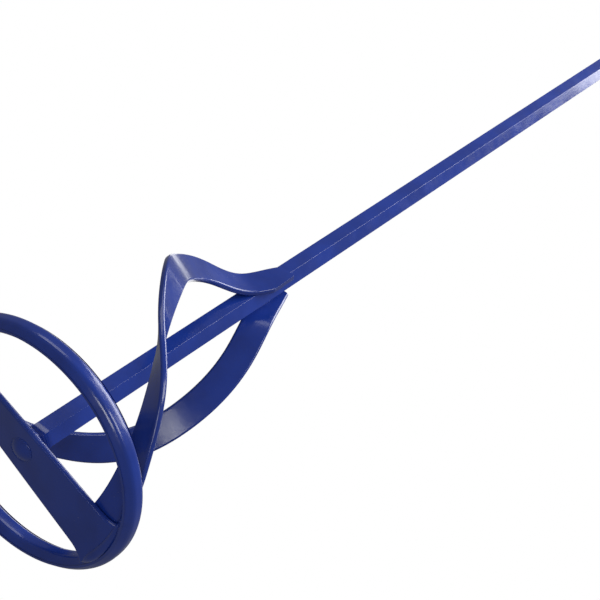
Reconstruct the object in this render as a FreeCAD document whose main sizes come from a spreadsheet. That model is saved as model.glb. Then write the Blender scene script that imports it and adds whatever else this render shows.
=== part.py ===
"""Mortar mixing paddle: a hexagon shaft, a ring on a flat crossbar and two twisted strip blades, welded.

The origin is the lowest point of the rivet head on the shaft's axis, +Z runs up the shaft to the shank end
and +X lies along the crossbar. Lengths are millimetres and angles are degrees.
"""
import FreeCAD, Part
import math
import os

import Sketcher
from FreeCAD import Placement, Rotation, Vector

SIZES = {
    # shaft: one length of hexagon bar, chamfered at the end that goes into the drill
    "overall_length": 600.0,
    "shaft_flats": 12.0,
    "shaft_clocking": -21.4,
    "shank_chamfer": 1.2,
    # rivet through the crossbar into the end of the shaft
    "head_diameter": 11.5,
    "head_height": 2.3,
    "pin_diameter": 5.0,
    "pin_depth": 14.0,
    # ring of flat bar, bent on edge
    "ring_diameter": 120.0,
    "ring_thickness": 7.0,
    "ring_height": 11.0,
    "ring_edge_radius": 3.0,
    # crossbar: a flat strip with a slight propeller twist, level with the ring's lower face at its middle
    "bar_width": 24.0,
    "bar_thickness": 3.0,
    "bar_twist": 11.0,
    # blades
    "blade_width": 15.0,
    "blade_thickness": 3.0,
    # tabs: each lies on a flat of the shaft, set by hand, so the two differ a little in height and slope
    "tab_azimuth": 248.6,
    "tab_side": 8.0,
    "tab_run": 32.0,
    "tab_a_slope": 23.5,
    "tab_a_top": 184.5,
    "tab_a_fold_across": -4.0,
    "tab_a_fold_height": 159.5,
    "tab_b_slope": 19.0,
    "tab_b_top": 188.0,
    "tab_b_fold_across": -8.0,
    "tab_b_fold_height": 160.0,
    # weld beads
    "shaft_bead_leg": 3.5,
    "shaft_bead_lip": 0.4,
    "shaft_bead_sink": 0.5,
    "tab_bead_radius": 2.3,
    "tab_bead_length": 17.0,
    "ring_bead_radius": 2.3,
    "ring_bead_length": 15.0,
    "ring_bead_place": 0.3,
    "end_bead_radius": 3.2,
    "end_bead_inset": 0.6,
    "end_bead_angle": 36.0,
}

# The blade beyond its tab, from the fold down to the crossbar. Each bend gives the azimuth, radius and height
# of the strip's middle line above the ring's lower face, and the azimuth and rise of its width direction.
BEND_KEYS = ("azimuth", "radius", "height", "width_azimuth", "width_rise")
BENDS = (
    (211.0, 22.5, 139.8, -12.0, -22.0),
    (231.5, 40.0, 108.5, 6.0, -1.0),
    (248.0, 52.2, 85.0, 25.0, 10.5),
    (266.5, 52.7, 58.7, 64.5, 20.0),
    (290.0, 51.0, 37.5, 109.0, 15.5),
    (318.5, 45.5, 21.7, 137.0, 12.5),
    (349.0, 45.3, 6.5, 171.0, -0.5),
    (359.0, 44.9, 1.8, 178.0, 1.5),
)

BEYOND = 3.0           # how far a cutting shape or an overlap reaches past the face that it works on
BAR_SECTIONS = 5       # sections that carry the crossbar's twist
BEAD_STANDOFF = 1 / 3  # distance of a straight bead's axis from the face that it lies on, in bead radii
QUARTER_TURN = 90.0
HALF_TURN = 180.0
FULL_TURN = 360.0

doc = FreeCAD.newDocument("mixing_paddle")
sheet = doc.addObject("Spreadsheet::Sheet", "Sizes")


def fill_sheet():
    """Write every driving dimension into the sheet, one aliased cell each."""
    cells = dict(SIZES)
    for number, bend in enumerate(BENDS, start=1):
        for key, value in zip(BEND_KEYS, bend):
            cells[f"bend_{number}_{key}"] = value
    for row, (alias, value) in enumerate(cells.items(), start=1):
        sheet.set(f"A{row}", alias)
        sheet.set(f"B{row}", str(value))
        sheet.setAlias(f"B{row}", alias)
    doc.recompute()


def size(alias):
    """The number held in one cell of the sheet."""
    return float(getattr(sheet, alias))


def bind(thing, prop, expression):
    """Drive a property from the sheet, writing each alias in the expression as <alias>."""
    thing.setExpression(prop, expression.replace("<", "Sizes.").replace(">", ""))


def cylindrical(radius, azimuth, height):
    """A point from its distance to the shaft's axis, its azimuth and its height."""
    angle = math.radians(azimuth)
    return Vector(radius * math.cos(angle), radius * math.sin(angle), height)


def turned(placement, turn):
    """A placement carried round the shaft's axis."""
    return Placement(Vector(), Rotation(Vector(0, 0, 1), turn)).multiply(placement)


def new_body(label):
    """An empty body with its own label."""
    body = doc.addObject("PartDesign::Body", label)
    body.Label = label
    return body


def sketch_in(body, name, role, offset=None):
    """A sketch attached to one of its body's own origin planes."""
    plane = next(item for item in body.Origin.OriginFeatures if item.Role == role)
    sketch = body.newObject("Sketcher::SketchObject", name)
    sketch.AttachmentSupport = [(plane, "")]
    sketch.MapMode = "FlatFace"
    if offset is not None:
        sketch.AttachmentOffset = offset
    return sketch


def outline(sketch, corners):
    """Join the corners with a closed run of straight lines."""
    count = len(corners)
    for start, end in zip(corners, corners[1:] + corners[:1]):
        sketch.addGeometry(Part.LineSegment(Vector(*start, 0), Vector(*end, 0)))
    for line in range(count):
        sketch.addConstraint(Sketcher.Constraint("Coincident", line, 2, (line + 1) % count, 1))


def dimension(sketch, kind, items, name, value, expression):
    """Add a named dimension and drive it from the sheet."""
    index = sketch.addConstraint(Sketcher.Constraint(kind, *items, value))
    sketch.renameConstraint(index, name)
    bind(sketch, f"Constraints.{name}", expression)


def strip_section(sketch, width_alias, thickness_alias):
    """The cross-section of a flat strip, centred on the sketch's origin."""
    half_width = size(width_alias) / 2
    half_thickness = size(thickness_alias) / 2
    corners = [
        (-half_width, -half_thickness),
        (half_width, -half_thickness),
        (half_width, half_thickness),
        (-half_width, half_thickness),
    ]
    outline(sketch, corners)
    for line, direction in enumerate(("Horizontal", "Vertical", "Horizontal", "Vertical")):
        sketch.addConstraint(Sketcher.Constraint(direction, line))
    sketch.addConstraint(Sketcher.Constraint("Symmetric", 0, 1, 1, 2, -1, 1))
    dimension(sketch, "DistanceX", (0, 1, 0, 2), "width", 2 * half_width, f"<{width_alias}>")
    dimension(sketch, "DistanceY", (1, 1, 1, 2), "thickness", 2 * half_thickness, f"<{thickness_alias}>")


def loft(body, sections):
    """Join strip sections into one smooth solid."""
    solid = body.newObject("PartDesign::AdditiveLoft", f"{body.Name}_loft")
    solid.Profile = sections[0]
    solid.Sections = sections[1:]
    solid.Ruled = False
    for sketch in sections:
        sketch.Visibility = False
    return solid


def circle_in(sketch, name, radius, expression):
    """A circle about the sketch's origin, with its radius driven from the sheet."""
    index = sketch.addGeometry(Part.Circle(Vector(0, 0, 0), Vector(0, 0, 1), radius))
    sketch.addConstraint(Sketcher.Constraint("Coincident", index, 3, -1, 1))
    dimension(sketch, "Radius", (index,), name, radius, expression)


def make_shaft():
    """Hexagon bar on the crossbar, with a turned chamfer above and a bore for the rivet's pin below."""
    body = new_body("hex_shaft")
    foot = size("head_height") + size("bar_thickness")
    corner_radius = size("shaft_flats") / math.sqrt(3)
    clocking = Rotation(Vector(0, 0, 1), size("shaft_clocking"))

    bar = body.newObject("PartDesign::AdditivePrism", "hexagon_bar")
    plane = next(item for item in body.Origin.OriginFeatures if item.Role == "XY_Plane")
    bar.AttachmentSupport = [(plane, "")]
    bar.MapMode = "FlatFace"
    bar.Polygon = 6
    bar.AttachmentOffset = Placement(Vector(0, 0, foot), clocking)
    bind(bar, "Circumradius", "<shaft_flats> / sqrt(3)")
    bind(bar, "Height", "<overall_length> - <head_height> - <bar_thickness>")

    top = size("overall_length")
    flat_top = size("shaft_flats") / 2 - size("shank_chamfer") / 2
    outside = corner_radius + BEYOND
    chamfer_sketch = sketch_in(body, "chamfer_section", "XZ_Plane")
    outline(chamfer_sketch, [(flat_top, top), (outside, top - outside + flat_top), (outside, top)])
    chamfer = body.newObject("PartDesign::Groove", "shank_chamfer_cut")
    chamfer.Profile = chamfer_sketch
    chamfer.ReferenceAxis = (chamfer_sketch, ["V_Axis"])
    chamfer.Angle = FULL_TURN

    bore_sketch = sketch_in(body, "bore_section", "XY_Plane", Placement(Vector(0, 0, foot), Rotation()))
    circle_in(bore_sketch, "bore", size("pin_diameter") / 2, "<pin_diameter> / 2")
    bore = body.newObject("PartDesign::Pocket", "pin_bore")
    bore.Profile = bore_sketch
    bore.Reversed = True
    bind(bore, "Length", "<pin_depth>")
    return body


def make_rivet():
    """Domed head under the crossbar with a plain pin that runs up into the shaft."""
    sphere = "(<head_diameter> ^ 2 / 4 + <head_height> ^ 2) / (2 * <head_height>)"
    head = doc.addObject("Part::Sphere", "rivet_head")
    bind(head, "Radius", sphere)
    head.Angle1 = -QUARTER_TURN
    bind(head, "Angle2", f"asin(<head_height> / ({sphere}) - 1)")
    bind(head, "Placement.Base.z", sphere)
    pin = doc.addObject("Part::Cylinder", "rivet_pin")
    bind(pin, "Radius", "<pin_diameter> / 2")
    bind(pin, "Height", "<bar_thickness> + <pin_depth>")
    bind(pin, "Placement.Base.z", "<head_height>")
    rivet = doc.addObject("Part::Fuse", "centre_rivet")
    rivet.Base = head
    rivet.Tool = pin
    return rivet


def make_ring():
    """Flat bar bent on edge into a ring, its four long edges well rounded."""
    body = new_body("ring")
    outer = size("ring_diameter") / 2
    inner = outer - size("ring_thickness")
    base = size("head_height")
    top = base + size("ring_height")
    sketch = sketch_in(body, "ring_section", "YZ_Plane")
    outline(sketch, [(inner, base), (outer, base), (outer, top), (inner, top)])
    for line, direction in enumerate(("Horizontal", "Vertical", "Horizontal", "Vertical")):
        sketch.addConstraint(Sketcher.Constraint(direction, line))
    dimension(sketch, "DistanceX", (-1, 1, 1, 1), "outer", outer, "<ring_diameter> / 2")
    dimension(sketch, "DistanceX", (0, 1, 0, 2), "thickness", outer - inner, "<ring_thickness>")
    dimension(sketch, "DistanceY", (1, 1, 1, 2), "height", top - base, "<ring_height>")
    dimension(sketch, "DistanceY", (-1, 1, 1, 1), "base", base, "<head_height>")
    band = body.newObject("PartDesign::Revolution", "ring_band")
    band.Profile = sketch
    band.ReferenceAxis = (sketch, ["V_Axis"])
    band.Angle = FULL_TURN
    doc.recompute()
    rims = [
        f"Edge{number}"
        for number, edge in enumerate(band.Shape.Edges, start=1)
        if isinstance(edge.Curve, Part.Circle)
    ]
    rounding = body.newObject("PartDesign::Fillet", "ring_rounding")
    rounding.Base = (band, rims)
    bind(rounding, "Radius", "<ring_edge_radius>")
    return body


def make_crossbar():
    """Twisted strip across the ring, cut to the ring's inner wall, with a hole for the rivet's pin."""
    body = new_body("crossbar")
    inner = size("ring_diameter") / 2 - size("ring_thickness")
    reach = inner + BEYOND
    middle = size("head_height") + size("bar_thickness") / 2
    sections = []
    for number in range(BAR_SECTIONS):
        along = reach * (2 * number / (BAR_SECTIONS - 1) - 1)
        turn = Rotation(Vector(0, 0, 1), -size("bar_twist") * along / inner)
        offset = Placement(Vector(0, middle, along), turn)
        sketch = sketch_in(body, f"bar_section_{number + 1}", "YZ_Plane", offset)
        strip_section(sketch, "bar_width", "bar_thickness")
        sections.append(sketch)
    loft(body, sections)

    above = Placement(Vector(0, 0, size("ring_height") + size("head_height")), Rotation())
    cutter = sketch_in(body, "ends_and_hole", "XY_Plane", above)
    circle_in(cutter, "clear", 2 * inner, "<ring_diameter> - 2 * <ring_thickness>")
    circle_in(cutter, "wall", inner, "<ring_diameter> / 2 - <ring_thickness>")
    circle_in(cutter, "hole", size("pin_diameter") / 2, "<pin_diameter> / 2")
    cut = body.newObject("PartDesign::Pocket", "bar_ends_and_hole")
    cut.Profile = cutter
    bind(cut, "Length", "2 * (<ring_height> + <head_height>)")
    return body


def tab_frame():
    """Outward normal of the shaft's flat that carries the tab, and the direction across that flat."""
    normal = cylindrical(1.0, size("tab_azimuth"), 0.0)
    across = cylindrical(1.0, size("tab_azimuth") + QUARTER_TURN, 0.0)
    return normal, across


def tab_stations(side):
    """The flat tab's two ends and its middle, each a point, a heading and a width direction."""
    normal, across = tab_frame()
    slope = math.radians(size(f"tab_{side}_slope"))
    heading = across * -math.sin(slope) + Vector(0, 0, -math.cos(slope))
    width = across * math.cos(slope) + Vector(0, 0, -math.sin(slope))
    clear = size("shaft_flats") / 2 + size("blade_thickness") / 2
    height = Vector(0, 0, size(f"tab_{side}_fold_height"))
    fold = normal * clear + across * size(f"tab_{side}_fold_across") + height
    return [(fold - heading * (size("tab_run") * part), heading, width) for part in (1.0, 0.5, 0.0)]


def blade_stations(side):
    """Every station of the strip, from the end of the tab to the crossbar."""
    stations = tab_stations(side)
    points = [stations[-1][0]]
    widths = []
    for number in range(1, len(BENDS) + 1):
        azimuth, radius, height, width_azimuth, width_rise = (
            size(f"bend_{number}_{key}") for key in BEND_KEYS
        )
        points.append(cylindrical(radius, azimuth, height))
        rise = math.radians(width_rise)
        widths.append(cylindrical(math.cos(rise), width_azimuth, math.sin(rise)))
    for index, width in enumerate(widths, start=1):
        before = points[index] - points[index - 1]
        after = points[min(index + 1, len(points) - 1)] - points[index]
        heading = before.normalize()
        if after.Length > 0:
            heading = (heading + after.normalize()).normalize()
        stations.append((points[index], heading, width))
    return stations


def section_placement(point, heading, width, turn):
    """A section plane across the strip: its x along the width, its normal along the heading."""
    thickness = heading.cross(width).normalize()
    square_width = thickness.cross(heading)
    lift = Vector(0, 0, size("head_height"))
    upright = Placement(point + lift, Rotation(square_width, thickness, heading, "ZXY"))
    return turned(upright, turn)


def make_strip(side, turn):
    """One twisted strip before its ends are cut to fit its neighbours."""
    label = f"blade_{side}"
    body = new_body(f"{label}_strip")
    sections = []
    for number, (point, heading, width) in enumerate(blade_stations(side), start=1):
        offset = section_placement(point, heading, width, turn)
        sketch = sketch_in(body, f"{label}_section_{number}", "XY_Plane", offset)
        strip_section(sketch, "blade_width", "blade_thickness")
        sections.append(sketch)
    loft(body, sections)
    return body


def tab_trims(side, turn):
    """Two blocks that crop the tab's end: one across the shaft's axis and one along it."""
    normal, across = tab_frame()
    up = Vector(0, 0, 1)
    reach = 2 * size("blade_width")
    near = normal * (size("shaft_flats") / 2 - BEYOND)
    top = size(f"tab_{side}_top") + size("head_height")
    corners = {
        "top": near + across * reach + up * top,
        "side": near + across * (size("tab_side") + 2 * reach) + up * (top - reach),
    }
    blocks = []
    for place, corner in corners.items():
        block = doc.addObject("Part::Box", f"blade_{side}_trim_{place}")
        block.Length = 2 * reach
        block.Width = size("blade_thickness") + 2 * BEYOND
        block.Height = reach
        upright = Placement(corner, Rotation(across * -1, normal, up, "ZXY"))
        block.Placement = turned(upright, turn)
        blocks.append(block)
    return blocks


def cut_to_fit(label, rough, neighbours):
    """The rough solid less everything that it meets, one neighbour at a time."""
    fitted = rough
    for count, neighbour in enumerate(neighbours, start=1):
        last = count == len(neighbours)
        cut = doc.addObject("Part::Cut", label if last else f"{label}_cut_{count}")
        cut.Base = fitted
        cut.Tool = neighbour
        fitted = cut
    fitted.Label = label
    return fitted


def make_shaft_bead(bar):
    """Fillet weld all round the foot of the shaft."""
    bead = doc.addObject("Part::Cone", "shaft_bead")
    bind(bead, "Radius1", "<shaft_flats> / sqrt(3) + <shaft_bead_leg>")
    bind(bead, "Radius2", "<shaft_flats> / sqrt(3) + <shaft_bead_lip>")
    bind(bead, "Height", "<shaft_bead_leg> + <shaft_bead_sink>")
    bind(bead, "Placement.Base.z", "<head_height> + <bar_thickness> - <shaft_bead_sink>")
    core = doc.addObject("Part::Prism", "shaft_bead_core")
    core.Polygon = 6
    bind(core, "Circumradius", "<shaft_flats> / sqrt(3)")
    bind(core, "Height", "<head_height> + <bar_thickness> + 2 * <shaft_bead_leg>")
    core.Placement = Placement(Vector(), Rotation(Vector(0, 0, 1), size("shaft_clocking")))
    return cut_to_fit("weld_shaft_crossbar", bead, [core, bar])


def long_bead(name, length_alias, radius_alias, middle, along, turn):
    """A straight bead of weld metal lying along a seam."""
    bead = doc.addObject("Part::Cylinder", name)
    bind(bead, "Radius", f"<{radius_alias}>")
    bind(bead, "Height", f"<{length_alias}>")
    along = Vector(along).normalize()
    start = middle - along * (size(length_alias) / 2) + Vector(0, 0, size("head_height"))
    laid = Placement(start, Rotation(Vector(0, 0, 1), along))
    bead.Placement = turned(laid, turn)
    return bead


def make_tab_bead(side, turn, neighbours):
    """Weld along the tab's straight edge, in the corner that it makes with the shaft's next flat."""
    normal, across = tab_frame()
    radius = size("tab_bead_radius")
    middle_height = size(f"tab_{side}_top") - size("tab_bead_length") / 2
    depth = size("shaft_flats") / 2 - radius * BEAD_STANDOFF
    middle = normal * depth + across * (size("tab_side") - radius) + Vector(0, 0, middle_height)
    label = f"weld_blade_{side}_shaft"
    bead = long_bead(f"{label}_bead", "tab_bead_length", "tab_bead_radius", middle, Vector(0, 0, 1), turn)
    return cut_to_fit(label, bead, neighbours)


def make_ring_bead(side, turn, neighbours):
    """Weld between the blade's outer edge and the ring's inner wall, down to the crossbar."""
    (upper, _, _), (lower, _, _) = blade_stations(side)[-3:-1]
    seam = lower - upper
    inner = size("ring_diameter") / 2 - size("ring_thickness")
    over_wall = lower - seam * size("ring_bead_place")
    outward = Vector(over_wall.x, over_wall.y, 0).normalize()
    depth = inner - size("ring_bead_radius") * BEAD_STANDOFF
    middle = outward * depth + Vector(0, 0, over_wall.z - size("blade_thickness"))
    label = f"weld_blade_{side}_ring"
    bead = long_bead(f"{label}_bead", "ring_bead_length", "ring_bead_radius", middle, seam, turn)
    return cut_to_fit(label, bead, neighbours)


def make_end_bead(side, turn, neighbours):
    """Weld round one end of the crossbar, a short arc of bead along the ring's inner wall."""
    label = f"weld_crossbar_ring_{side}"
    bead = doc.addObject("Part::Torus", f"{label}_bead")
    bind(bead, "Radius1", "<ring_diameter> / 2 - <ring_thickness> - <end_bead_inset>")
    bind(bead, "Radius2", "<end_bead_radius>")
    bind(bead, "Angle3", "<end_bead_angle>")
    start = turn - size("end_bead_angle") / 2
    lift = size("head_height") + size("bar_thickness") / 2
    bead.Placement = Placement(Vector(0, 0, lift), Rotation(Vector(0, 0, 1), start))
    return cut_to_fit(label, bead, neighbours)


def check(node):
    """Stop unless the node is one valid solid."""
    shape = node.Shape
    if shape.isNull() or not shape.isValid() or not shape.Solids or shape.Volume <= 0:
        raise RuntimeError(f"{node.Label} has no valid solid")
    print(f"{node.Label}: solids {len(shape.Solids)}, {shape.Volume:.1f} mm3")


def build():
    """Make every piece and write it to parts/."""
    fill_sheet()
    shaft = make_shaft()
    rivet = make_rivet()
    ring = make_ring()
    bar = make_crossbar()
    frame = [shaft, ring, bar]
    nodes = [shaft, rivet, ring, bar]
    doc.recompute()
    for side, turn in (("a", 0.0), ("b", HALF_TURN)):
        blade = cut_to_fit(f"blade_{side}", make_strip(side, turn), frame + tab_trims(side, turn))
        doc.recompute()
        nodes.append(blade)
        nodes.append(make_tab_bead(side, turn, [shaft, blade]))
        end_weld = make_end_bead(side, turn, [ring, bar, blade])
        nodes.append(end_weld)
        nodes.append(make_ring_bead(side, turn, [ring, bar, blade, end_weld]))
    nodes.append(make_shaft_bead(bar))
    doc.recompute()

    for item in doc.Objects:
        if "Invalid" in item.State or "Error" in item.State:
            raise RuntimeError(f"{item.Name} failed: {item.State}")
    os.makedirs("parts", exist_ok=True)
    for node in nodes:
        check(node)
        node.Shape.exportStep(f"parts/{node.Label}.step")


build()
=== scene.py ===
"""Mortar mixing paddle in glossy blue enamel, every visible surface rebuilt as a finished mesh.

All lengths are metres, in the row's frame: the origin is the rivet head's lowest point, +Z runs up the shaft
and +X lies along the crossbar.
"""
import math
import random

import bmesh
import bpy
import numpy as np
from mathutils import Matrix, Vector


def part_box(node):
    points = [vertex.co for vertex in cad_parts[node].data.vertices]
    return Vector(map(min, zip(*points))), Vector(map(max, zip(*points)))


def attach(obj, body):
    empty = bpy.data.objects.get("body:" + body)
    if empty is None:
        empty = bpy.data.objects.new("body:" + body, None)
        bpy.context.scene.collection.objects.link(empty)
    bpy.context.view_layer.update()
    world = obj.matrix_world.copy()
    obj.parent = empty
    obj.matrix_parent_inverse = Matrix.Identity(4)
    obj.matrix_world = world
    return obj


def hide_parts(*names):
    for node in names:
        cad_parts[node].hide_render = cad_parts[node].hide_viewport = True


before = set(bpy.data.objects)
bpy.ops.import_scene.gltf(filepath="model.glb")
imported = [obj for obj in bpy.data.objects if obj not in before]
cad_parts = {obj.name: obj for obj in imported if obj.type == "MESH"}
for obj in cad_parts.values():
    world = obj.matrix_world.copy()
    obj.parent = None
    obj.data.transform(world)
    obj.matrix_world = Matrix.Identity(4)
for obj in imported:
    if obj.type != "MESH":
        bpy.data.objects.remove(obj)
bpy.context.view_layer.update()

MM = 0.001
BODY = "root"

# ---- sizes that come from the frame ----
RING_LOW, RING_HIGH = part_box("ring")
RING_BASE = RING_LOW[2]
RING_TOP = RING_HIGH[2]
RING_OUTER = RING_HIGH[0]
SHAFT_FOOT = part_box("hex_shaft")[0][2]
SHAFT_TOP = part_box("hex_shaft")[1][2]
BAR_THICKNESS = SHAFT_FOOT - RING_BASE
HEAD_HEIGHT = RING_BASE

# ---- sizes that the design shares with the CAD model ----
RING_THICKNESS = 7.0 * MM
RING_INNER = RING_OUTER - RING_THICKNESS
SHAFT_FLATS = 12.0 * MM
SHAFT_CORNER = SHAFT_FLATS / 2 / math.cos(math.pi / 6)
SHAFT_CLOCKING = math.radians(-21.4)
SHANK_CHAMFER = 1.2 * MM
BAR_WIDTH = 24.0 * MM
BAR_TWIST = math.radians(11.0)
HEAD_RADIUS = 5.75 * MM
BLADE_WIDTH = 15.0 * MM
BLADE_THICKNESS = 3.0 * MM
TAB_AZIMUTH = math.radians(248.6)
TAB_SIDE = 8.0 * MM
TAB_RUN = 32.0 * MM

# Each tab's slope in radians, then the height of its end, its fold's place across the flat and its fold's
# height, above the ring's base.
TABS = {
    "a": (math.radians(23.5), 184.5 * MM, -4.0 * MM, 159.5 * MM),
    "b": (math.radians(19.0), 188.0 * MM, -8.0 * MM, 160.0 * MM),
}

# Bends of the blade below its tab: azimuth, radius and height above the ring's base of the middle line, then
# the azimuth and rise of the width direction. Degrees and millimetres, as in the CAD model.
BENDS = (
    (211.0, 22.5, 139.8, -12.0, -22.0),
    (231.5, 40.0, 108.5, 6.0, -1.0),
    (248.0, 52.2, 85.0, 25.0, 10.5),
    (266.5, 52.7, 58.7, 64.5, 20.0),
    (290.0, 51.0, 37.5, 109.0, 15.5),
    (318.5, 45.5, 21.7, 137.0, 12.5),
    (349.0, 45.3, 6.5, 171.0, -0.5),
    (359.0, 44.9, 1.8, 178.0, 1.5),
)

# ---- finish that only the visible model has ----
RING_CHAMFER = 2.8 * MM
RING_CROWN = 0.8 * MM
SHAFT_CORNER_EDGE = 0.15 * MM
STRIP_EDGE = 1.1 * MM
CUT_EDGE = 0.3 * MM
BAR_OVERRUN = 1.5 * MM    # how far the crossbar's ends run past the ring's inner wall
BAR_SINK = 1.0 * MM       # how deep those ends lie in the wall where they follow its curve
FLARE_WIDTH = 4.2 * MM
FLARE_REACH = 13.0 * MM
LOWEST = 0.1 * MM         # a twisted strip's corners stay this far above the origin's plane
RIM_HEIGHT = 0.45 * MM
PINPOINT = 0.02 * MM      # radius of the small flat that closes a turned shape on its axis

# ---- weld beads ----
FOOT_BEAD_RADIUS = 2.6 * MM
TAB_BEAD_RADIUS = 1.7 * MM
WALL_BEAD_RADIUS = 2.0 * MM
END_BEAD_RADIUS = 2.5 * MM
END_BEAD_HALF_ANGLE = math.radians(19.0)
TAB_BEAD_DROPS = (0.5, 5.0, 10.0, 17.0)    # millimetres below the tab's end
BEAD_STEP = 0.3 * MM                       # length of a bead between two of its sections
BEAD_PITCH = 2.4 * MM                      # length of a bead between two of its ripples
BEAD_SIDES = 20
BEAD_DRIFT = 0.04                          # slow swelling along a bead, as a share of its radius
BEAD_SWINGS = 6                            # waves that the slow swelling is made of
BEAD_SEEDS = {"foot": 11, "tab": 21, "wall": 31, "end": 41}

# ---- camera: lens and place of the photograph's view ----
CAMERA_PLACE = Vector((0.0798, -0.5275, -0.3582))
CAMERA_RIGHT = Vector((0.634, -0.5183, 0.5739))
CAMERA_UP = Vector((-0.7686, -0.5044, 0.3935))
CAMERA_LENS_MM = 90.0
CAMERA_SENSOR_MM = 36.0

# ---- lights: name, azimuth and elevation in degrees, distance, width and height in metres, watts ----
LIGHTS = (
    ("key", 286.0, 60.0, 1.6, 1.1, 1.3, 27.0),
    ("side", 300.0, 10.0, 1.6, 0.5, 0.5, 4.5),
    ("front_strip", 292.0, -47.0, 1.6, 0.6, 0.45, 4.6),
    ("back_strip", 97.0, 52.0, 1.6, 0.8, 0.5, 1.5),
    ("fill", 225.0, 15.0, 1.8, 0.8, 0.8, 4.0),
)
LIT_POINT = Vector((0.0, 0.0, 0.08))
WORLD_LIGHT = 0.19
FLOOR_HALF_WIDTH = 40.0
FLOOR_COLOUR = (0.86, 0.86, 0.87, 1.0)
FLOOR_GLOW = 0.4
WHITE = (1.0, 1.0, 1.0, 1.0)

# ---- paint ----
BLUE = (0.012, 0.042, 0.310, 1.0)
DEEP_BLUE = (0.010, 0.034, 0.255, 1.0)
EDGE_BLUE = (0.018, 0.055, 0.35, 1.0)
RUB_GREY = (0.16, 0.18, 0.30, 1.0)

GLOSS = (0.16, 0.26)         # least and most roughness of the paint
WELD_GLOSS = (0.2, 0.3)      # the same over the welds
COAT_WEIGHT = 0.35
COAT_ROUGHNESS = 0.09
PAINT_IOR = 1.5

# Size of each kind of mottling, in cells per metre.
GRAIN = {"clouds": 55.0, "specks": 900.0, "patches": 38.0, "haze": 120.0, "peel": 650.0, "swell": 70.0}

UP = Vector((0.0, 0.0, 1.0))


# ---- small geometry helpers ----

def cylindrical(radius, azimuth, height):
    """A point from its distance to the shaft's axis, its azimuth in radians and its height."""
    return Vector((radius * math.cos(azimuth), radius * math.sin(azimuth), height))


def rounded_rectangle(half_width, half_height, radius, steps=5):
    """Corner-rounded rectangle about the origin, anticlockwise."""
    centres = (
        (half_width - radius, half_height - radius),
        (radius - half_width, half_height - radius),
        (radius - half_width, radius - half_height),
        (half_width - radius, radius - half_height),
    )
    points = []
    for quarter, (x, y) in enumerate(centres):
        for step in range(steps + 1):
            angle = math.pi / 2 * (quarter + step / steps)
            points.append((x + radius * math.cos(angle), y + radius * math.sin(angle)))
    return points


def softened_bar(half_width, half_height, chamfer, crown, passes=3, share=0.16):
    """Rectangle about the origin with wide chamfers, crowned sides and corners eased by repeated cuts."""
    corners = []
    for x_side, y_side, swap in ((1, 1, 0), (-1, 1, 1), (-1, -1, 0), (1, -1, 1)):
        pair = [
            (x_side * half_width, y_side * (half_height - chamfer)),
            (x_side * (half_width - chamfer), y_side * half_height),
        ]
        corners += reversed(pair) if swap else pair
    for _ in range(passes):
        eased = []
        for (x, y), (next_x, next_y) in zip(corners, corners[1:] + corners[:1]):
            eased.append((x + (next_x - x) * share, y + (next_y - y) * share))
            eased.append((next_x + (x - next_x) * share, next_y + (y - next_y) * share))
        corners = eased
    return [(x - math.copysign(crown, x) * (y / half_height) ** 2, y) for x, y in corners]


def rounded_polygon(sides, across_flats, radius, turn, steps=4):
    """Regular polygon with rounded corners, its first corner at the given turn."""
    inner = (across_flats / 2 - radius) / math.cos(math.pi / sides)
    points = []
    for side in range(sides):
        corner = turn + 2 * math.pi * side / sides
        for step in range(steps + 1):
            angle = corner + (step / steps - 0.5) * 2 * math.pi / sides
            x = inner * math.cos(corner) + radius * math.cos(angle)
            y = inner * math.sin(corner) + radius * math.sin(angle)
            points.append((x, y))
    return points


def natural_spline(knots, values, samples):
    """Smooth curve through the values at the knots, read at the samples."""
    knots = np.asarray(knots, float)
    values = np.asarray(values, float)
    count = len(knots)
    gaps = np.diff(knots)
    system = np.zeros((count, count))
    right = np.zeros_like(values)
    system[0, 0] = system[-1, -1] = 1.0
    for row in range(1, count - 1):
        system[row, row - 1] = gaps[row - 1]
        system[row, row] = 2 * (gaps[row - 1] + gaps[row])
        system[row, row + 1] = gaps[row]
        slope_after = (values[row + 1] - values[row]) / gaps[row]
        slope_before = (values[row] - values[row - 1]) / gaps[row - 1]
        right[row] = 6 * (slope_after - slope_before)
    bend = np.linalg.solve(system, right)
    cell = np.clip(np.searchsorted(knots, samples, side="right") - 1, 0, count - 2)
    span = gaps[cell][:, None]
    ahead = (knots[cell + 1] - samples)[:, None]
    behind = (samples - knots[cell])[:, None]
    curve = bend[cell] * ahead ** 3 + bend[cell + 1] * behind ** 3
    curve = curve / (6 * span)
    curve += (values[cell] / span - bend[cell] * span / 6) * ahead
    curve += (values[cell + 1] / span - bend[cell + 1] * span / 6) * behind
    return curve


def skin(name, rings, closed_path=False):
    """A closed mesh from rings of points: neighbours are joined, and the two ends are capped."""
    mesh = bmesh.new()
    loops = [[mesh.verts.new(point) for point in ring] for ring in rings]
    pairs = list(zip(loops, loops[1:]))
    if closed_path:
        pairs.append((loops[-1], loops[0]))
    for low, high in pairs:
        count = len(low)
        for index in range(count):
            after = (index + 1) % count
            mesh.faces.new((low[index], low[after], high[after], high[index]))
    if not closed_path:
        mesh.faces.new(list(reversed(loops[0])))
        mesh.faces.new(loops[-1])
    bmesh.ops.recalc_face_normals(mesh, faces=mesh.faces)
    data = bpy.data.meshes.new(name)
    mesh.to_mesh(data)
    mesh.free()
    piece = bpy.data.objects.new(name, data)
    bpy.context.scene.collection.objects.link(piece)
    return piece


def lathe(name, profile, segments):
    """A solid of revolution about the shaft's axis, from a profile of radii and heights."""
    rings = []
    for radius, height in profile:
        turn = [2 * math.pi * step / segments for step in range(segments)]
        rings.append([cylindrical(radius, angle, height) for angle in turn])
    return skin(name, rings)


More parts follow.
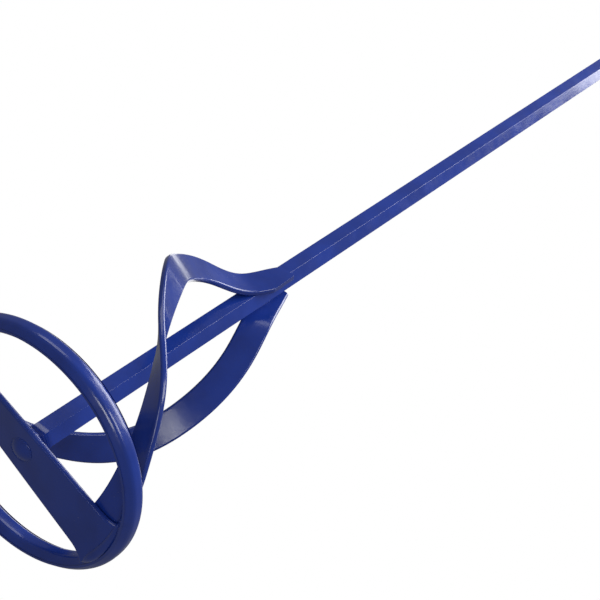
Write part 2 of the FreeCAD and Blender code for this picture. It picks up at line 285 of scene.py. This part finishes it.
def crop(piece, point, normal, above):
    """Cut off what lies on the normal's side of a plane, above a height only, and close the cut."""
    mesh = bmesh.new()
    mesh.from_mesh(piece.data)
    faces = [face for face in mesh.faces if min(vert.co.z for vert in face.verts) > above]
    edges = {edge for face in faces for edge in face.edges}
    verts = {vert for face in faces for vert in face.verts}
    everything = list(verts) + list(edges) + faces
    bmesh.ops.bisect_plane(mesh, geom=everything, plane_co=point, plane_no=normal, clear_outer=True)
    open_edges = [edge for edge in mesh.edges if edge.is_boundary]
    bmesh.ops.holes_fill(mesh, edges=open_edges)
    bmesh.ops.recalc_face_normals(mesh, faces=mesh.faces)
    mesh.to_mesh(piece.data)
    mesh.free()


def finish_piece(piece, material, slot, *nodes, soften=None):
    """Smooth shading, softened hard edges, material, and hiding the CAD nodes that the piece stands for."""
    piece.data.polygons.foreach_set("use_smooth", [True] * len(piece.data.polygons))
    if soften:
        bevel = piece.modifiers.new("softened_edges", "BEVEL")
        bevel.width = soften
        bevel.segments = 3
        bevel.limit_method = "ANGLE"
        bevel.angle_limit = math.radians(40)
    normals = piece.modifiers.new("flat_faces_stay_flat", "WEIGHTED_NORMAL")
    normals.keep_sharp = True
    piece.data.materials.append(material)
    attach(piece, BODY)
    if nodes:
        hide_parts(*nodes)
    return piece


# ---- materials ----

class Nodes:
    """A short way to write a material's node tree."""

    def __init__(self, name):
        self.material = bpy.data.materials.new(name)
        self.material.use_nodes = True
        self.tree = self.material.node_tree
        self.shader = self.tree.nodes["Principled BSDF"]
        self.place = self.tree.nodes.new("ShaderNodeTexCoord").outputs["Object"]

    def add(self, kind, inputs=None, **settings):
        """A node with its settings and its inputs, each a value or another node's output."""
        node = self.tree.nodes.new(kind)
        for key, value in settings.items():
            setattr(node, key, value)
        for key, value in (inputs or {}).items():
            self.feed(node.inputs[key], value)
        return node

    def feed(self, socket, value):
        """Link an output to a socket, or set the socket's own value."""
        if isinstance(value, bpy.types.NodeSocket):
            self.tree.links.new(value, socket)
        else:
            socket.default_value = value

    def noise(self, scale, detail, roughness=0.5):
        """Noise in object space, its scale in cells per metre."""
        inputs = {"Vector": self.place, "Scale": scale, "Detail": detail, "Roughness": roughness}
        return self.add("ShaderNodeTexNoise", inputs).outputs["Fac"]

    def remap(self, value, low, high, new_low, new_high):
        """Map one range of values smoothly onto another."""
        inputs = {"Value": value, "From Min": low, "From Max": high, "To Min": new_low, "To Max": new_high}
        return self.add("ShaderNodeMapRange", inputs, interpolation_type="SMOOTHSTEP").outputs["Result"]

    def bump(self, strength, distance, height, under=None):
        """Relief of a height, laid over another relief where one is given."""
        inputs = {"Strength": strength, "Distance": distance, "Height": height}
        if under is not None:
            inputs["Normal"] = under
        return self.add("ShaderNodeBump", inputs).outputs["Normal"]

    def blend(self, amount, first, second):
        """Mix two colours by an amount."""
        node = self.add("ShaderNodeMix", data_type="RGBA")
        for socket, value in ((0, amount), (6, first), (7, second)):
            self.feed(node.inputs[socket], value)
        return node.outputs[2]


def enamel(name, lumps, gloss):
    """Glossy sprayed enamel: cloudy depth, a lighter blue on convex edges, orange peel and a few rubbed
    specks.
    """
    nodes = Nodes(name)
    clouds = nodes.noise(GRAIN["clouds"], 4.0)
    colour = nodes.blend(nodes.remap(clouds, 0.35, 0.65, 0.0, 1.0), DEEP_BLUE, BLUE)
    # Lighter blue on convex edges, found by pointiness.
    pointiness = nodes.add("ShaderNodeNewGeometry").outputs["Pointiness"]
    edges = nodes.remap(pointiness, 0.52, 0.60, 0.0, 0.55)
    colour = nodes.blend(edges, colour, EDGE_BLUE)
    specks = nodes.noise(GRAIN["specks"], 2.0)
    patches = nodes.noise(GRAIN["patches"], 2.0)
    rubbed = nodes.add(
        "ShaderNodeMath",
        {0: nodes.remap(specks, 0.70, 0.76, 0.0, 1.0), 1: nodes.remap(patches, 0.55, 0.7, 0.0, 0.6)},
        operation="MULTIPLY",
    ).outputs[0]
    colour = nodes.blend(rubbed, colour, RUB_GREY)
    nodes.feed(nodes.shader.inputs["Base Color"], colour)

    haze = nodes.noise(GRAIN["haze"], 5.0, 0.6)
    nodes.feed(nodes.shader.inputs["Roughness"], nodes.remap(haze, 0.3, 0.7, *gloss))
    nodes.shader.inputs["IOR"].default_value = PAINT_IOR
    nodes.shader.inputs["Coat Weight"].default_value = COAT_WEIGHT
    nodes.shader.inputs["Coat Roughness"].default_value = COAT_ROUGHNESS

    peel = nodes.bump(0.10, 0.25 * MM, nodes.noise(GRAIN["peel"], 2.0))
    swell = nodes.bump(0.35, lumps, nodes.noise(GRAIN["swell"], 2.0), peel)
    nodes.feed(nodes.shader.inputs["Normal"], swell)
    return nodes.material


def pale_floor():
    """Matt pale floor that only the camera sees, and only from above, so that it shades nothing."""
    nodes = Nodes("pale_floor")
    nodes.feed(nodes.shader.inputs["Base Color"], FLOOR_COLOUR)
    nodes.shader.inputs["Roughness"].default_value = 0.8
    nodes.shader.inputs["Emission Color"].default_value = WHITE
    nodes.shader.inputs["Emission Strength"].default_value = FLOOR_GLOW
    clear = nodes.add("ShaderNodeBsdfTransparent").outputs[0]
    below = nodes.add("ShaderNodeNewGeometry").outputs["Backfacing"]
    above = nodes.add("ShaderNodeMath", {0: 1.0, 1: below}, operation="SUBTRACT").outputs[0]
    direct = nodes.add("ShaderNodeLightPath").outputs["Is Camera Ray"]
    solid = nodes.add("ShaderNodeMath", {0: above, 1: direct}, operation="MULTIPLY").outputs[0]
    mix = nodes.add("ShaderNodeMixShader", {0: solid, 1: clear, 2: nodes.shader.outputs[0]})
    output = nodes.tree.nodes["Material Output"]
    nodes.tree.links.new(mix.outputs[0], output.inputs["Surface"])
    return nodes.material


# ---- pieces ----

def make_shaft(material):
    """Hexagon bar with drawn corners and a turned chamfer at the shank end."""
    section = rounded_polygon(6, SHAFT_FLATS, SHAFT_CORNER_EDGE, SHAFT_CLOCKING)
    end_radius = SHAFT_FLATS / 2 - SHANK_CHAMFER / 2
    cone_foot = SHAFT_TOP - (SHAFT_CORNER - end_radius)
    bar_steps, cone_steps = 60, 12
    heights = [SHAFT_FOOT + (SHAFT_TOP - SHAFT_FOOT) * step / bar_steps for step in range(bar_steps)]
    heights = [height for height in heights if height < cone_foot - MM]
    heights += [cone_foot + (SHAFT_TOP - cone_foot) * step / cone_steps for step in range(cone_steps + 1)]
    rings = []
    for height in heights:
        limit = end_radius + (SHAFT_TOP - height)
        ring = []
        for x, y in section:
            shrink = min(1.0, limit / math.hypot(x, y))
            ring.append((x * shrink, y * shrink, height))
        rings.append(ring)
    return finish_piece(skin("shaft_bar", rings), material, "blue_enamel", "hex_shaft")


def make_ring(material):
    """Flat bar bent on edge, with wide soft chamfers and slightly crowned sides."""
    segments = 240
    middle = (RING_INNER + RING_OUTER) / 2
    section = softened_bar(RING_THICKNESS / 2, (RING_TOP - RING_BASE) / 2, RING_CHAMFER, RING_CROWN)
    rings = []
    for step in range(segments):
        azimuth = 2 * math.pi * step / segments
        outward = cylindrical(1.0, azimuth, 0.0)
        centre = outward * middle + UP * (RING_BASE + RING_TOP) / 2
        rings.append([centre + outward * x + UP * y for x, y in section])
    return finish_piece(skin("guard_ring", rings, closed_path=True), material, "blue_enamel", "ring")


def bar_frame(along):
    """Middle of the crossbar at a place along it, with its width and thickness directions."""
    twist = -BAR_TWIST * along / RING_INNER
    width = Vector((0.0, math.cos(twist), math.sin(twist)))
    thickness = Vector((0.0, -math.sin(twist), math.cos(twist)))
    return Vector((along, 0.0, RING_BASE + BAR_THICKNESS / 2)), width, thickness


def make_crossbar(material):
    """Twisted strip that runs into the ring's wall at both ends and widens a little at the welds."""
    reach = RING_INNER + BAR_OVERRUN
    steps = 80
    rings = []
    for step in range(steps + 1):
        along = reach * (2 * step / steps - 1)
        centre, width, thickness = bar_frame(along)
        nearness = max(0.0, 1 - (RING_INNER - abs(along)) / FLARE_REACH)
        flare = FLARE_WIDTH * min(nearness, 1.0) ** 3
        section = rounded_rectangle(BAR_WIDTH / 2 + flare, BAR_THICKNESS / 2, STRIP_EDGE)
        ring = [centre + width * x + thickness * y for x, y in section]
        for point in ring:
            limit = math.sqrt(RING_INNER ** 2 - point.y ** 2) + BAR_SINK
            point.x = max(-limit, min(limit, point.x))
            point.z = max(point.z, LOWEST)
        rings.append(ring)
    return finish_piece(skin("twisted_crossbar", rings), material, "blue_enamel", "crossbar")


def make_rivet(material):
    """Domed head with a soft rim that is seated in the crossbar."""
    sphere = (HEAD_RADIUS ** 2 + HEAD_HEIGHT ** 2) / (2 * HEAD_HEIGHT)
    steps = 24
    profile = [(PINPOINT, 0.0)]
    for step in range(1, steps + 1):
        radius = HEAD_RADIUS * step / steps
        profile.append((radius, sphere - math.sqrt(sphere ** 2 - radius ** 2)))
    profile[-1] = (HEAD_RADIUS - 0.1 * MM, HEAD_HEIGHT - RIM_HEIGHT)
    profile.append((HEAD_RADIUS + 0.1 * MM, HEAD_HEIGHT - RIM_HEIGHT / 3))
    profile.append((HEAD_RADIUS + 0.3 * MM, HEAD_HEIGHT + 0.2 * MM))
    profile.append((PINPOINT, HEAD_HEIGHT + 0.4 * MM))
    return finish_piece(lathe("rivet_head", profile, 96), material, "blue_enamel", "centre_rivet")


def tab_frame():
    """Outward normal of the shaft's flat that carries the tab, and the direction across that flat."""
    return cylindrical(1.0, TAB_AZIMUTH, 0.0), cylindrical(1.0, TAB_AZIMUTH + math.pi / 2, 0.0)


def blade_line(side):
    """Points and width directions of a strip's middle line, from the tab's end to the crossbar."""
    normal, across = tab_frame()
    slope, _, fold_across, fold_height = TABS[side]
    heading = across * -math.sin(slope) - UP * math.cos(slope)
    width = across * math.cos(slope) - UP * math.sin(slope)
    fold = normal * (SHAFT_FLATS + BLADE_THICKNESS) / 2 + across * fold_across + UP * fold_height
    line = [(fold - heading * (TAB_RUN * part), width) for part in (1.0, 0.5, 0.0)]
    for azimuth, radius, height, width_azimuth, width_rise in BENDS:
        rise = math.radians(width_rise)
        point = cylindrical(radius * MM, math.radians(azimuth), height * MM)
        line.append((point, cylindrical(math.cos(rise), math.radians(width_azimuth), math.sin(rise))))
    lift = UP * RING_BASE
    return [(point + lift, width) for point, width in line]


def blade_sections(side, steps=220):
    """Evenly spaced places along a strip, each a centre, a width direction and a thickness direction."""
    line = blade_line(side)
    points = np.array([point for point, _ in line])
    widths = np.array([width for _, width in line])
    knots = np.concatenate([[0.0], np.cumsum(np.linalg.norm(np.diff(points, axis=0), axis=1))])
    samples = np.linspace(0.0, knots[-1], steps)
    centres = natural_spline(knots, points, samples)
    across = natural_spline(knots, widths, samples)
    headings = np.gradient(centres, axis=0)
    headings /= np.linalg.norm(headings, axis=1)[:, None]
    across -= (across * headings).sum(axis=1)[:, None] * headings
    across /= np.linalg.norm(across, axis=1)[:, None]
    faces = np.cross(headings, across)
    return [tuple(Vector(item) for item in row) for row in zip(centres, across, faces)]


def make_blade(side, turn, material):
    """One strip blade, cropped at its tab as the real strip is, and run into the crossbar below."""
    section = rounded_rectangle(BLADE_WIDTH / 2, BLADE_THICKNESS / 2, STRIP_EDGE)
    rings = []
    for centre, width, face in blade_sections(side):
        rings.append([centre + width * x + face * y for x, y in section])
    piece = skin(f"strip_blade_{side}", rings)
    _, across = tab_frame()
    _, tab_top, _, fold_height = TABS[side]
    fold_height = fold_height + RING_BASE
    crop(piece, UP * (tab_top + RING_BASE), UP, fold_height)
    crop(piece, across * TAB_SIDE, across, fold_height)
    piece.data.transform(Matrix.Rotation(turn, 4, "Z"))
    return finish_piece(piece, material, "blue_enamel", f"blade_{side}", soften=CUT_EDGE)


def make_bead(name, path, radius, material, node, seed, ripple=0.07):
    """A run of weld metal along a path: a rounded bead with overlapping ripples and tapered ends."""
    draw = random.Random(seed)
    points = np.array([list(point) for point in path])
    lengths = np.concatenate([[0.0], np.cumsum(np.linalg.norm(np.diff(points, axis=0), axis=1))])
    fewest_steps = 24
    steps = max(fewest_steps, int(lengths[-1] / BEAD_STEP))
    samples = np.linspace(0.0, lengths[-1], steps)
    line = natural_spline(lengths, points, samples)
    phase = draw.random() * math.tau
    swings = [draw.uniform(-1, 1) for _ in range(BEAD_SWINGS)]
    first = Vector(line[1] - line[0]).orthogonal()
    rings = []
    for index, (centre, heading) in enumerate(zip(line, np.gradient(line, axis=0))):
        heading = Vector(heading).normalized()
        first = (first - heading * first.dot(heading)).normalized()
        second = heading.cross(first)
        part = index / (steps - 1)
        taper = max(0.0, 1 - abs(2 * part - 1) ** 3) ** 0.6
        wave = abs(math.sin(math.pi * samples[index] / BEAD_PITCH + phase)) * ripple
        swell = sum(swing * math.sin((k + 1) * math.pi * part) for k, swing in enumerate(swings))
        size = radius * max(0.02, taper * (1 - ripple + wave + BEAD_DRIFT * swell))
        ring = []
        for step in range(BEAD_SIDES):
            angle = math.tau * step / BEAD_SIDES
            ring.append(Vector(centre) + first * size * math.cos(angle) + second * size * math.sin(angle))
        rings.append(ring)
    return finish_piece(skin(name, rings), material, "enamelled_weld", node)


def foot_path():
    """Once round the shaft's foot, just clear of its corners and of the crossbar's upper face."""
    steps = 48
    radius = SHAFT_CORNER + 0.6 * MM
    height = SHAFT_FOOT + 0.5 * MM
    return [cylindrical(radius, math.tau * step / steps, height) for step in range(steps + 1)]


def tab_path(side):
    """Down the corner between a tab's straight edge and the shaft's next flat."""
    normal, across = tab_frame()
    under_flat = 1.2 * MM
    inside_edge = 2.6 * MM
    place = normal * (SHAFT_FLATS / 2 - under_flat) + across * (TAB_SIDE - inside_edge)
    tab_top = RING_BASE + TABS[side][1]
    return [place + UP * (tab_top - drop * MM) for drop in TAB_BEAD_DROPS]


def wall_path(side):
    """Down the seam between a blade's outer edge and the ring's inner wall."""
    low = RING_BASE + 4 * MM
    high = RING_TOP + 1 * MM
    toward_face = 0.4 * BLADE_THICKNESS
    off_wall = 0.3 * MM
    beside_ring = [row for row in blade_sections(side) if low < row[0].z < high and row[0].x > 0]
    path = []
    for centre, width, face in beside_ring[::4]:
        edge = centre - width * (BLADE_WIDTH / 2) - face * toward_face
        outward = Vector((edge.x, edge.y, 0)).normalized()
        path.append(outward * (RING_INNER - off_wall) + UP * edge.z)
    return path


def end_path(turn):
    """Round one end of the crossbar, along the ring's inner wall and down with the crossbar's twist."""
    steps = 8
    into_wall = 0.6 * MM
    side = math.copysign(1.0, math.cos(turn))
    slope = 0.8 * math.tan(BAR_TWIST * side)
    path = []
    for step in range(steps + 1):
        azimuth = turn + END_BEAD_HALF_ANGLE * (2 * step / steps - 1)
        height = RING_BASE + BAR_THICKNESS / 2 - math.sin(azimuth) * RING_INNER * slope
        path.append(cylindrical(RING_INNER + into_wall, azimuth, max(height, END_BEAD_RADIUS)))
    return path


def make_welds(material):
    """Every weld: the shaft's foot, both tabs, both blades' seams and both ends of the crossbar."""
    foot_seed = BEAD_SEEDS["foot"]
    make_bead("foot_bead", foot_path(), FOOT_BEAD_RADIUS, material, "weld_shaft_crossbar", foot_seed)
    for number, (side, turn) in enumerate((("a", 0.0), ("b", math.pi))):
        spin = Matrix.Rotation(turn, 4, "Z")
        tab = [spin @ point for point in tab_path(side)]
        wall = [spin @ point for point in wall_path(side)]
        end = end_path(turn)
        runs = (
            ("tab", tab, TAB_BEAD_RADIUS, f"weld_blade_{side}_shaft", 0.03),
            ("wall", wall, WALL_BEAD_RADIUS, f"weld_blade_{side}_ring", 0.07),
            ("end", end, END_BEAD_RADIUS, f"weld_crossbar_ring_{side}", 0.0),
        )
        for kind, path, radius, node, ripple in runs:
            seed = BEAD_SEEDS[kind] + number
            make_bead(f"{kind}_bead_{side}", path, radius, material, node, seed, ripple)


# ---- stage ----

def make_floor():
    """A wide pale floor under the paddle."""
    half = FLOOR_HALF_WIDTH
    data = bpy.data.meshes.new("floor")
    corners = [(-half, -half, 0), (half, -half, 0), (half, half, 0), (-half, half, 0)]
    data.from_pydata(corners, [], [(0, 1, 2, 3)])
    floor = bpy.data.objects.new("floor", data)
    bpy.context.scene.collection.objects.link(floor)
    data.materials.append(pale_floor())


def make_world():
    """White surroundings, weaker as a light than as a backdrop."""
    world = bpy.data.worlds.new("studio")
    bpy.context.scene.world = world
    world.use_nodes = True
    tree = world.node_tree
    background = tree.nodes["Background"]
    background.inputs["Color"].default_value = WHITE
    path = tree.nodes.new("ShaderNodeLightPath")
    strength = tree.nodes.new("ShaderNodeMapRange")
    strength.inputs["To Min"].default_value = WORLD_LIGHT
    strength.inputs["To Max"].default_value = 1.0
    tree.links.new(path.outputs["Is Camera Ray"], strength.inputs["Value"])
    tree.links.new(strength.outputs["Result"], background.inputs["Strength"])


def make_light(name, azimuth, elevation, distance, width, height, power):
    """A soft rectangular light aimed at the paddle's head."""
    data = bpy.data.lights.new(name, "AREA")
    data.shape = "RECTANGLE"
    data.size = width
    data.size_y = height
    data.energy = power
    light = bpy.data.objects.new(name, data)
    bpy.context.scene.collection.objects.link(light)
    level = math.cos(math.radians(elevation)) * distance
    offset = cylindrical(level, math.radians(azimuth), math.sin(math.radians(elevation)) * distance)
    light.location = LIT_POINT + offset
    light.rotation_euler = offset.to_track_quat("Z", "Y").to_euler()


def make_camera():
    """The photograph's view: low, past the ring, up along the shaft."""
    data = bpy.data.cameras.new("photo_view")
    data.lens = CAMERA_LENS_MM
    data.sensor_width = CAMERA_SENSOR_MM
    data.clip_start = 0.01
    camera = bpy.data.objects.new("photo_view", data)
    bpy.context.scene.collection.objects.link(camera)
    back = CAMERA_RIGHT.cross(CAMERA_UP).normalized()
    axes = Matrix((CAMERA_RIGHT.normalized(), back.cross(CAMERA_RIGHT).normalized(), back)).transposed()
    camera.matrix_world = Matrix.Translation(CAMERA_PLACE) @ axes.to_4x4()
    bpy.context.scene.camera = camera


blue = enamel("blue_enamel", 0.5 * MM, GLOSS)
weld = enamel("enamelled_weld", 0.2 * MM, WELD_GLOSS)
make_shaft(blue)
make_ring(blue)
make_crossbar(blue)
make_rivet(blue)
make_blade("a", 0.0, blue)
make_blade("b", math.pi, blue)
make_welds(weld)

make_floor()
make_world()
for light in LIGHTS:
    make_light(*light)
make_camera()
bpy.context.scene.view_settings.view_transform = "Standard"
